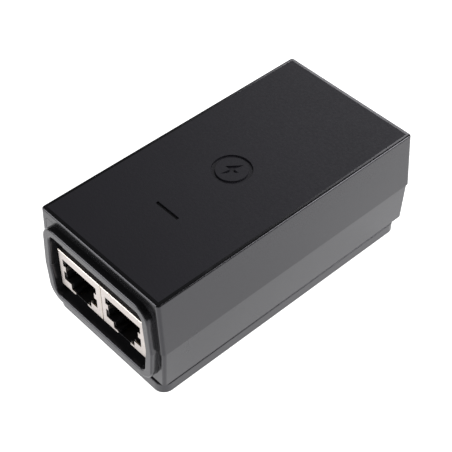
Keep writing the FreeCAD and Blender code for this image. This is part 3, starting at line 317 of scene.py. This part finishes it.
@dataclass(frozen=True)
class Finish:
    """One finish: its colour, gloss and the pattern that breaks both up."""

    name: str
    colour: Colour
    roughness: float
    pattern: Pattern = Pattern.GRAIN
    metallic: float = 0.0
    second: Colour | None = None
    fineness: float = 2600.0
    relief: float = 0.01 * MM
    spread: float = 0.06
    coat: float = 0.0
    coat_roughness: float = 0.12
    specular: float = 0.5
    tint: Colour = (0.93, 0.915, 1.0)
    darkening: float = 0.82
    drift: float = 45.0
    wander: float = 2.5

    def shade(self) -> Colour:
        """The tone the pattern drifts to: the second colour, or a little darker than the first."""
        return self.second or tuple(channel * self.darkening for channel in self.colour)

    def build(self, groups: Groups) -> bpy.types.Material:
        """Makes the material.

        Args:
            groups: the shared effects.

        Returns:
            The material.
        """
        material = bpy.data.materials.new(self.name)
        material.use_nodes = True
        w = Wiring(material.node_tree)
        shader = material.node_tree.nodes["Principled BSDF"]
        shader.inputs["Metallic"].default_value = self.metallic
        shader.inputs["Coat Weight"].default_value = self.coat
        shader.inputs["Coat Roughness"].default_value = self.coat_roughness
        shader.inputs["Specular IOR Level"].default_value = self.specular
        shader.inputs["Specular Tint"].default_value = rgba(self.tint)
        place = w.add("TexCoord").outputs["Object"]
        height, tone, rub = self.surface(w, groups, place)
        w.feed(shader.inputs["Base Color"], w.mix(tone, self.colour, self.shade()))
        rough = w.spread(rub, 0.0, 1.0, self.roughness, self.roughness + self.spread)
        w.feed(shader.inputs["Roughness"], rough)
        w.feed(shader.inputs["Normal"], self.relief_normal(w, height))
        return material

    def relief_normal(self, w: Wiring, height: Socket) -> Socket:
        """Turns a height from 0 to 1 into the surface's normal.

        Args:
            w: the material's wiring.
            height: the pattern's height.

        Returns:
            The bumped normal.
        """
        bump = w.add("Bump")
        bump.inputs["Strength"].default_value = 1.0
        bump.inputs["Distance"].default_value = self.relief
        w.feed(bump.inputs["Height"], height)
        return bump.outputs["Normal"]

    def surface(
        self, w: Wiring, groups: Groups, place: Socket
    ) -> tuple[Socket, Socket, Socket]:
        """Places the groups that the pattern needs.

        Args:
            w: the material's wiring.
            groups: the shared effects.
            place: the object's own coordinates.

        Returns:
            The pattern's height, its tone and where it is rubbed.
        """
        grain = w.add("Group", node_tree=groups.grain)
        w.feed(grain.inputs["Vector"], place)
        grain.inputs["Fineness"].default_value = self.fineness
        grain.inputs["Drift"].default_value = self.drift
        height, tone, rub = grain.outputs["Height"], grain.outputs["Tone"], grain.outputs["Rub"]
        if self.pattern is not Pattern.GRAIN:
            lines = w.add("Group", node_tree=groups.lines)
            w.feed(lines.inputs["Vector"], self.stretched(w, place))
            lines.inputs["Spacing"].default_value = math.pi * self.fineness
            wander = 0.0 if self.pattern is Pattern.WOUND else self.wander
            lines.inputs["Wander"].default_value = wander
            height, tone = lines.outputs["Height"], lines.outputs["Tone"]
        return height, tone, rub

    def stretched(self, w: Wiring, place: Socket) -> Socket:
        """Turns the coordinates so that lines run the way the pattern wants."""
        mapping = w.add("Mapping")
        w.feed(mapping.inputs["Vector"], place)
        if self.pattern is Pattern.WEAVE:
            mapping.inputs["Rotation"].default_value = (0.0, math.radians(90.0), 0.0)
        return mapping.outputs["Vector"]


@dataclass(frozen=True)
class LidFinish(Finish):
    """The lid's finish: a textured field inside a narrow polished border, and polished sides."""

    polished: Colour = (0.012, 0.012, 0.013)
    polished_roughness: float = 0.2
    polished_relief: float = 0.08
    border: float = 1.05 * MM
    side_draft: float = 0.95 * MM
    rear_draft: float = 0.5 * MM
    soft: float = 0.12 * MM
    depth: float = 0.5 * MM

    def build(self, groups: Groups) -> bpy.types.Material:
        """Makes the lid's material from its two finishes.

        Args:
            groups: the shared effects.

        Returns:
            The material.
        """
        material = bpy.data.materials.new(self.name)
        material.use_nodes = True
        w = Wiring(material.node_tree)
        shader = material.node_tree.nodes["Principled BSDF"]
        shader.inputs["Specular IOR Level"].default_value = self.specular
        shader.inputs["Specular Tint"].default_value = rgba(self.tint)
        place = w.add("TexCoord").outputs["Object"]
        low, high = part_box("top_cover")
        field_mask = w.add("Group", node_tree=groups.field)
        w.feed(field_mask.inputs["Vector"], place)
        limits = {
            "Half": high.x - self.side_draft - self.border,
            "Front": low.y + self.border,
            "Rear": high.y - self.rear_draft - self.border,
            "Level": high.z - self.depth,
            "Soft": self.soft,
        }
        for name, limit in limits.items():
            field_mask.inputs[name].default_value = limit
        mask = field_mask.outputs["Mask"]
        height, tone, rub = self.surface(w, groups, place)
        textured = w.mix(tone, self.colour, self.shade())
        w.feed(shader.inputs["Base Color"], w.mix(mask, self.polished, textured))
        rubbed = self.polished_roughness + self.spread
        gloss = w.spread(rub, 0.0, 1.0, self.polished_roughness, rubbed)
        matt = w.spread(height, 0.3, 0.7, self.roughness, self.roughness + self.spread)
        border_part = w.math("MULTIPLY", w.math("SUBTRACT", 1.0, mask), gloss)
        field_part = w.math("MULTIPLY", mask, matt)
        w.feed(shader.inputs["Roughness"], w.math("ADD", field_part, border_part))
        relief = w.math("MULTIPLY", height, w.math("MAXIMUM", mask, self.polished_relief))
        w.feed(shader.inputs["Normal"], self.relief_normal(w, relief))
        return material


@dataclass(frozen=True)
class LensFinish(Finish):
    """A smoked light pipe: dark, smooth and a little clear."""

    clear: float = 0.25
    index: float = 1.49

    def build(self, groups: Groups) -> bpy.types.Material:
        """Makes the light pipe's material.

        Args:
            groups: the shared effects.

        Returns:
            The material.
        """
        material = super().build(groups)
        shader = material.node_tree.nodes["Principled BSDF"]
        shader.inputs["Transmission Weight"].default_value = self.clear
        shader.inputs["IOR"].default_value = self.index
        return material


CHARCOAL: Colour = (0.022, 0.022, 0.024)
BLACK: Colour = (0.008, 0.008, 0.009)
NICKEL: Colour = (0.62, 0.575, 0.525)

LID = LidFinish(
    "charcoal_lid", (0.0155, 0.0145, 0.0205), 0.54, fineness=1500.0, relief=0.035 * MM, spread=0.1
)
CASE = Finish("charcoal_case", CHARCOAL, 0.24, fineness=1500.0, relief=0.002 * MM)
BEZEL = Finish("charcoal_bezel", CHARCOAL, 0.2, fineness=1500.0, relief=0.002 * MM)
BRACKET = Finish(
    "charcoal_bracket", (0.026, 0.026, 0.028), 0.28, fineness=1800.0, relief=0.003 * MM
)
LENS = LensFinish("smoked_lens", (0.01, 0.01, 0.011), 0.2, relief=0.001 * MM)
SHIELD = Finish(
    "nickel_sheet", NICKEL, 0.3, Pattern.BRUSHED, 1.0, (0.55, 0.505, 0.46), 2200.0, 0.001 * MM, 0.1
)
GOLD = Finish("gold_wire", (0.9, 0.68, 0.3), 0.22, metallic=1.0, relief=0.001 * MM)
SOCKET = Finish("black_socket", BLACK, 0.38, fineness=2500.0, relief=0.004 * MM)
INLET = Finish("black_inlet", (0.014, 0.014, 0.015), 0.36, fineness=2000.0, relief=0.006 * MM)
BLADE = Finish(
    "nickel_blade", (0.82, 0.79, 0.74), 0.24, Pattern.BRUSHED,
    1.0, (0.74, 0.71, 0.66), 3000.0, 0.001 * MM,
)
BOARD = Finish(
    "green_board", (0.02, 0.16, 0.06), 0.4, Pattern.WEAVE,
    0.0, (0.015, 0.12, 0.045), 1400.0, 0.004 * MM,
)
SHEET = Finish("pale_sheet", (0.72, 0.71, 0.66), 0.5)
EPOXY_BLUE = Finish("blue_epoxy", (0.03, 0.12, 0.5), 0.28, fineness=700.0, relief=0.03 * MM)
EPOXY_BROWN = Finish("brown_coat", (0.2, 0.09, 0.05), 0.4, fineness=900.0, relief=0.02 * MM)
YELLOW_BOX = Finish("yellow_box", (0.75, 0.48, 0.04), 0.35)
FERRITE = Finish("ferrite", (0.045, 0.045, 0.05), 0.6, fineness=1600.0, relief=0.03 * MM)
GREEN_COAT = Finish("green_ferrite_coat", (0.03, 0.2, 0.08), 0.45)
COPPER = Finish(
    "enamelled_copper", (0.72, 0.28, 0.1), 0.26,
    Pattern.WOUND, 0.9, (0.35, 0.1, 0.03), 1250.0, 0.2 * MM,
)
TAPE = Finish(
    "yellow_tape", (0.8, 0.58, 0.12), 0.3, Pattern.WOUND, 0.0, (0.7, 0.48, 0.08), 300.0, 0.02 * MM
)
PACKAGE = Finish("moulded_package", (0.02, 0.02, 0.021), 0.5, fineness=3000.0, relief=0.015 * MM)
PALE_PACKAGE = Finish("pale_package", (0.75, 0.75, 0.72), 0.45, fineness=3000.0, relief=0.01 * MM)
SLEEVE = Finish("can_sleeve", (0.02, 0.022, 0.05), 0.25, relief=0.003 * MM, coat=0.4)
CAN = Finish(
    "drawn_can", (0.62, 0.62, 0.64), 0.3, Pattern.BRUSHED,
    1.0, (0.52, 0.52, 0.54), 1800.0, 0.002 * MM,
)

NODE_FINISHES: dict[str, Finish] = {
    "top_cover": LID,
    "bottom_case": CASE,
    "front_bezel": BEZEL,
    "wall_bracket": BRACKET,
    "bracket_latch": BRACKET,
    "light_pipe": LENS,
    "left_jack_shield": SHIELD,
    "right_jack_shield": SHIELD,
    "left_jack_contacts": GOLD,
    "right_jack_contacts": GOLD,
    "left_jack_tails": GOLD,
    "right_jack_tails": GOLD,
    "left_jack_insulator": SOCKET,
    "right_jack_insulator": SOCKET,
    "ac_inlet_body": INLET,
    "ac_inlet_pins": BLADE,
    "main_board": BOARD,
    "insulation_sheet": SHEET,
    "status_led": PALE_PACKAGE,
    "fuse": EPOXY_BROWN,
    "varistor": EPOXY_BLUE,
    "safety_capacitor": EPOXY_BLUE,
    "line_filter_capacitor": YELLOW_BOX,
    "line_choke_core": GREEN_COAT,
    "line_choke_winding": COPPER,
    "bridge_rectifier": PACKAGE,
    "power_switch_ic": PACKAGE,
    "output_diode": PACKAGE,
    "optocoupler": PALE_PACKAGE,
    "bulk_capacitor": SLEEVE,
    "output_capacitors": CAN,
    "output_choke": FERRITE,
    "transformer_core": FERRITE,
    "transformer_bobbin": PACKAGE,
    "transformer_winding": TAPE,
}


class Wardrobe:
    """Builds each finish once and hands it to the pieces."""

    def __init__(self) -> None:
        """Builds the shared groups."""
        self.groups = Groups()
        self.made: dict[str, bpy.types.Material] = {}

    def material(self, finish: Finish) -> bpy.types.Material:
        """The finish's material, made when it is first asked for."""
        if finish.name not in self.made:
            self.made[finish.name] = finish.build(self.groups)
        return self.made[finish.name]

    def dress(self, piece: bpy.types.Object, finish: Finish) -> None:
        """Gives a piece one finish all over.

        Args:
            piece: the mesh object.
            finish: what it is given.
        """
        material = self.material(finish)
        if not piece.data.materials:
            piece.data.materials.append(material)
        for slot in piece.material_slots:
            slot.material = material


# --------------------------------------------------------------------------------------------------
# Modelling by hand
# --------------------------------------------------------------------------------------------------


def deselect_all() -> None:
    """Clears the selection, which the import leaves full."""
    bpy.ops.object.select_all(action="DESELECT")


def start_block(name: str, low: Vector, high: Vector) -> bpy.types.Object:
    """Adds a block between two corners, its object at the origin, and leaves it active.

    Args:
        name: the piece's name.
        low: its lowest corner.
        high: its highest corner.

    Returns:
        The new object.
    """
    deselect_all()
    bpy.ops.mesh.primitive_cube_add(size=1.0, location=(low + high) / 2.0)
    piece = bpy.context.object
    piece.name = name
    piece.data.name = name
    piece.scale = high - low
    bpy.ops.object.transform_apply(location=True, rotation=True, scale=True)
    return piece


def pick(piece: bpy.types.Object, mode: str, chosen: Callable[[Vector], bool]) -> None:
    """Selects the parts of a mesh that lie where the test says, and stays in edit mode.

    Args:
        piece: the active mesh object.
        mode: VERT, EDGE or FACE.
        chosen: a test of a point: a corner, an edge's middle or a face's centre.
    """
    bpy.ops.object.mode_set(mode="EDIT")
    bpy.ops.mesh.select_mode(type=mode)
    bpy.ops.mesh.select_all(action="DESELECT")
    bpy.ops.object.mode_set(mode="OBJECT")
    mesh = piece.data
    if mode == "VERT":
        for vertex in mesh.vertices:
            vertex.select = chosen(vertex.co)
    elif mode == "EDGE":
        for edge in mesh.edges:
            ends = [mesh.vertices[i].co for i in edge.vertices]
            edge.select = chosen((ends[0] + ends[1]) / 2.0)
    else:
        for face in mesh.polygons:
            face.select = chosen(face.center)
    bpy.ops.object.mode_set(mode="EDIT")


def finish_piece(piece: bpy.types.Object, bevel: float) -> None:
    """Softens the edges, applies the modifier and shades by angle.

    Args:
        piece: the active mesh object.
        bevel: the width of the softened edges.
    """
    bpy.ops.object.mode_set(mode="OBJECT")
    modifier = piece.modifiers.new("soft_edges", "BEVEL")
    modifier.width = bevel
    modifier.segments = 2
    modifier.limit_method = "ANGLE"
    bpy.ops.object.modifier_apply(modifier=modifier.name)
    bpy.ops.object.shade_smooth_by_angle(angle=SMOOTH_ANGLE)


# --------------------------------------------------------------------------------------------------
# Sub-assemblies
# --------------------------------------------------------------------------------------------------


@dataclass
class Jack:
    """One jack: the two sprung leaves behind its window's grounding tabs."""

    side: Side
    wardrobe: Wardrobe
    sheet: float = 0.22 * MM
    leaf_low: float = 5.95 * MM
    leaf_height: float = 1.55 * MM
    leaf_length: float = 3.6 * MM
    leaf_from_face: float = 0.32 * MM
    tab_inner: float = 5.5 * MM
    leaf_outer: float = 5.86 * MM
    hollow: float = 0.12 * MM
    bowed_share: float = 0.3
    middle_lean: float = 0.4
    tip: float = 0.25 * MM
    edge_round: float = 0.03 * MM
    cuts: int = 5

    def build(self) -> None:
        """Makes and dresses both leaves."""
        low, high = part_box(f"{self.side.word}_jack_shield")
        for hand in Side:
            self.leaf(low, high, hand)

    def leaf(self, low: Vector, high: Vector, hand: Side) -> None:
        """One sprung leaf: a strip that runs back from its tab and leans outwards at its end.

        Args:
            low: the shield's lowest corner.
            high: the shield's highest corner.
            hand: which side of the window the leaf stands on.
        """
        out = hand.value
        centre = (low.x + high.x) / 2.0
        inner = centre + out * self.tab_inner
        front = low.y + self.leaf_from_face
        back = front + self.leaf_length
        foot = low.z + self.leaf_low
        edge = inner + out * self.sheet
        corner = Vector((min(inner, edge), front, foot))
        far = Vector((max(inner, edge), back, foot + self.leaf_height))
        name = f"{self.side.word}_jack_leaf_{hand.word}"
        piece = start_block(name, corner, far)
        middle = (front + back) / 2.0
        pick(piece, "EDGE", lambda p: abs(p.y - middle) < NEAR)
        bpy.ops.mesh.subdivide(number_cuts=self.cuts)
        lean = out * (self.leaf_outer - self.tab_inner - self.sheet)
        pick(piece, "VERT", lambda p: p.y > back - NEAR)
        bpy.ops.transform.translate(value=(lean, 0.0, 0.0))
        pick(piece, "VERT", lambda p: abs(p.y - middle) < self.leaf_length * self.bowed_share)
        bow = -out * self.hollow * 0.5 + lean * self.middle_lean
        bpy.ops.transform.translate(value=(bow, 0.0, 0.0))
        pick(piece, "FACE", lambda p: p.y > back - NEAR)
        bpy.ops.mesh.extrude_region_move(TRANSFORM_OT_translate={"value": (lean, self.tip, 0.0)})
        finish_piece(piece, self.edge_round)
        self.wardrobe.dress(piece, SHIELD)
        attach(piece, "unit")
        LOG.info("%s: %d faces", name, len(piece.data.polygons))


@dataclass
class PackedNodes:
    """The model's own pieces, which keep their shape and get their finish."""

    wardrobe: Wardrobe

    def dress(self) -> None:
        """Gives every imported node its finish."""
        for name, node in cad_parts.items():
            self.wardrobe.dress(node, NODE_FINISHES[name])
            LOG.info("%s: %s", name, NODE_FINISHES[name].name)


@dataclass(frozen=True)
class SoftBox:
    """One square area light, aimed at a point on the floor."""

    name: str
    place: Point
    size: float
    power: float
    target: Point = (0.0, 0.0, 0.0)

    def hang(self) -> None:
        """Adds the light to the scene."""
        light = bpy.data.lights.new(self.name, "AREA")
        light.size = self.size
        light.energy = self.power
        holder = bpy.data.objects.new(self.name, light)
        bpy.context.scene.collection.objects.link(holder)
        holder.location = self.place
        sight = Vector(self.place) - Vector(self.target)
        holder.rotation_euler = sight.to_track_quat("Z", "Y").to_euler()


@dataclass
class Studio:
    """Pale floor, soft lights, and the camera."""

    floor_half: float = 0.42
    floor_glow: float = 1.12
    sky: float = 0.05
    backdrop: float = 1.1
    lights: tuple[SoftBox, ...] = (
        SoftBox("front_left_box", (-0.25, -0.45, 0.16), 0.25, 1.2, (-0.03, -0.1, 0.0)),
        SoftBox("overhead_box", (-0.6, 1.0, 0.75), 0.5, 4.0, (-0.02, 0.06, 0.0)),
        SoftBox("right_rear_box", (0.3, 0.28, 0.22), 0.2, 1.1, (0.09, 0.06, 0.0)),
    )
    azimuth: float = 47.30
    elevation: float = 45.85
    camera_at: Point = (0.1577, -0.1475, 0.2364)
    lens: float = 96.6

    def build(self) -> None:
        """Makes the floor, sky, lights and camera."""
        self.build_floor()
        self.build_sky()
        self.build_lights()
        self.build_camera()

    def build_floor(self) -> None:
        """A pale sheet, lit from within like a light table."""
        deselect_all()
        level = CAD_BOX[0][2]
        bpy.ops.mesh.primitive_plane_add(size=2.0 * self.floor_half, location=(0.0, 0.0, level))
        floor = bpy.context.object
        floor.name = "studio_floor"
        material = bpy.data.materials.new("studio_white")
        material.use_nodes = True
        shader = material.node_tree.nodes["Principled BSDF"]
        shader.inputs["Base Color"].default_value = (0.9, 0.9, 0.9, 1.0)
        shader.inputs["Roughness"].default_value = 0.8
        shader.inputs["Emission Color"].default_value = rgba(WHITE)
        shader.inputs["Emission Strength"].default_value = self.floor_glow
        floor.data.materials.append(material)

    def build_sky(self) -> None:
        """A dim even sky that the camera sees as white."""
        world = bpy.data.worlds.new("studio_sky")
        bpy.context.scene.world = world
        world.use_nodes = True
        w = Wiring(world.node_tree)
        background = world.node_tree.nodes["Background"]
        seen = w.add("LightPath").outputs["Is Camera Ray"]
        w.feed(background.inputs["Strength"], w.spread(seen, 0.0, 1.0, self.sky, self.backdrop))
        background.inputs["Color"].default_value = rgba(WHITE)

    def build_lights(self) -> None:
        """Hangs the soft boxes."""
        for box in self.lights:
            box.hang()

    def build_camera(self) -> None:
        """The camera, above the front right corner."""
        lens = bpy.data.cameras.new("view")
        lens.lens = self.lens
        lens.sensor_width = SENSOR_WIDTH
        lens.clip_start = 0.01
        holder = bpy.data.objects.new("view", lens)
        bpy.context.scene.collection.objects.link(holder)
        holder.location = self.camera_at
        tilt = math.radians(90.0 - self.elevation)
        holder.rotation_euler = (tilt, 0.0, math.radians(self.azimuth))
        bpy.context.scene.camera = holder
        bpy.context.scene.view_settings.view_transform = "Standard"


def main() -> None:
    """Builds everything in order."""
    logging.basicConfig(level=logging.INFO, format="%(name)s %(message)s")
    Studio().build()
    wardrobe = Wardrobe()
    PackedNodes(wardrobe).dress()
    for side in Side:
        Jack(side, wardrobe).build()


if __name__ == "__main__":
    main()
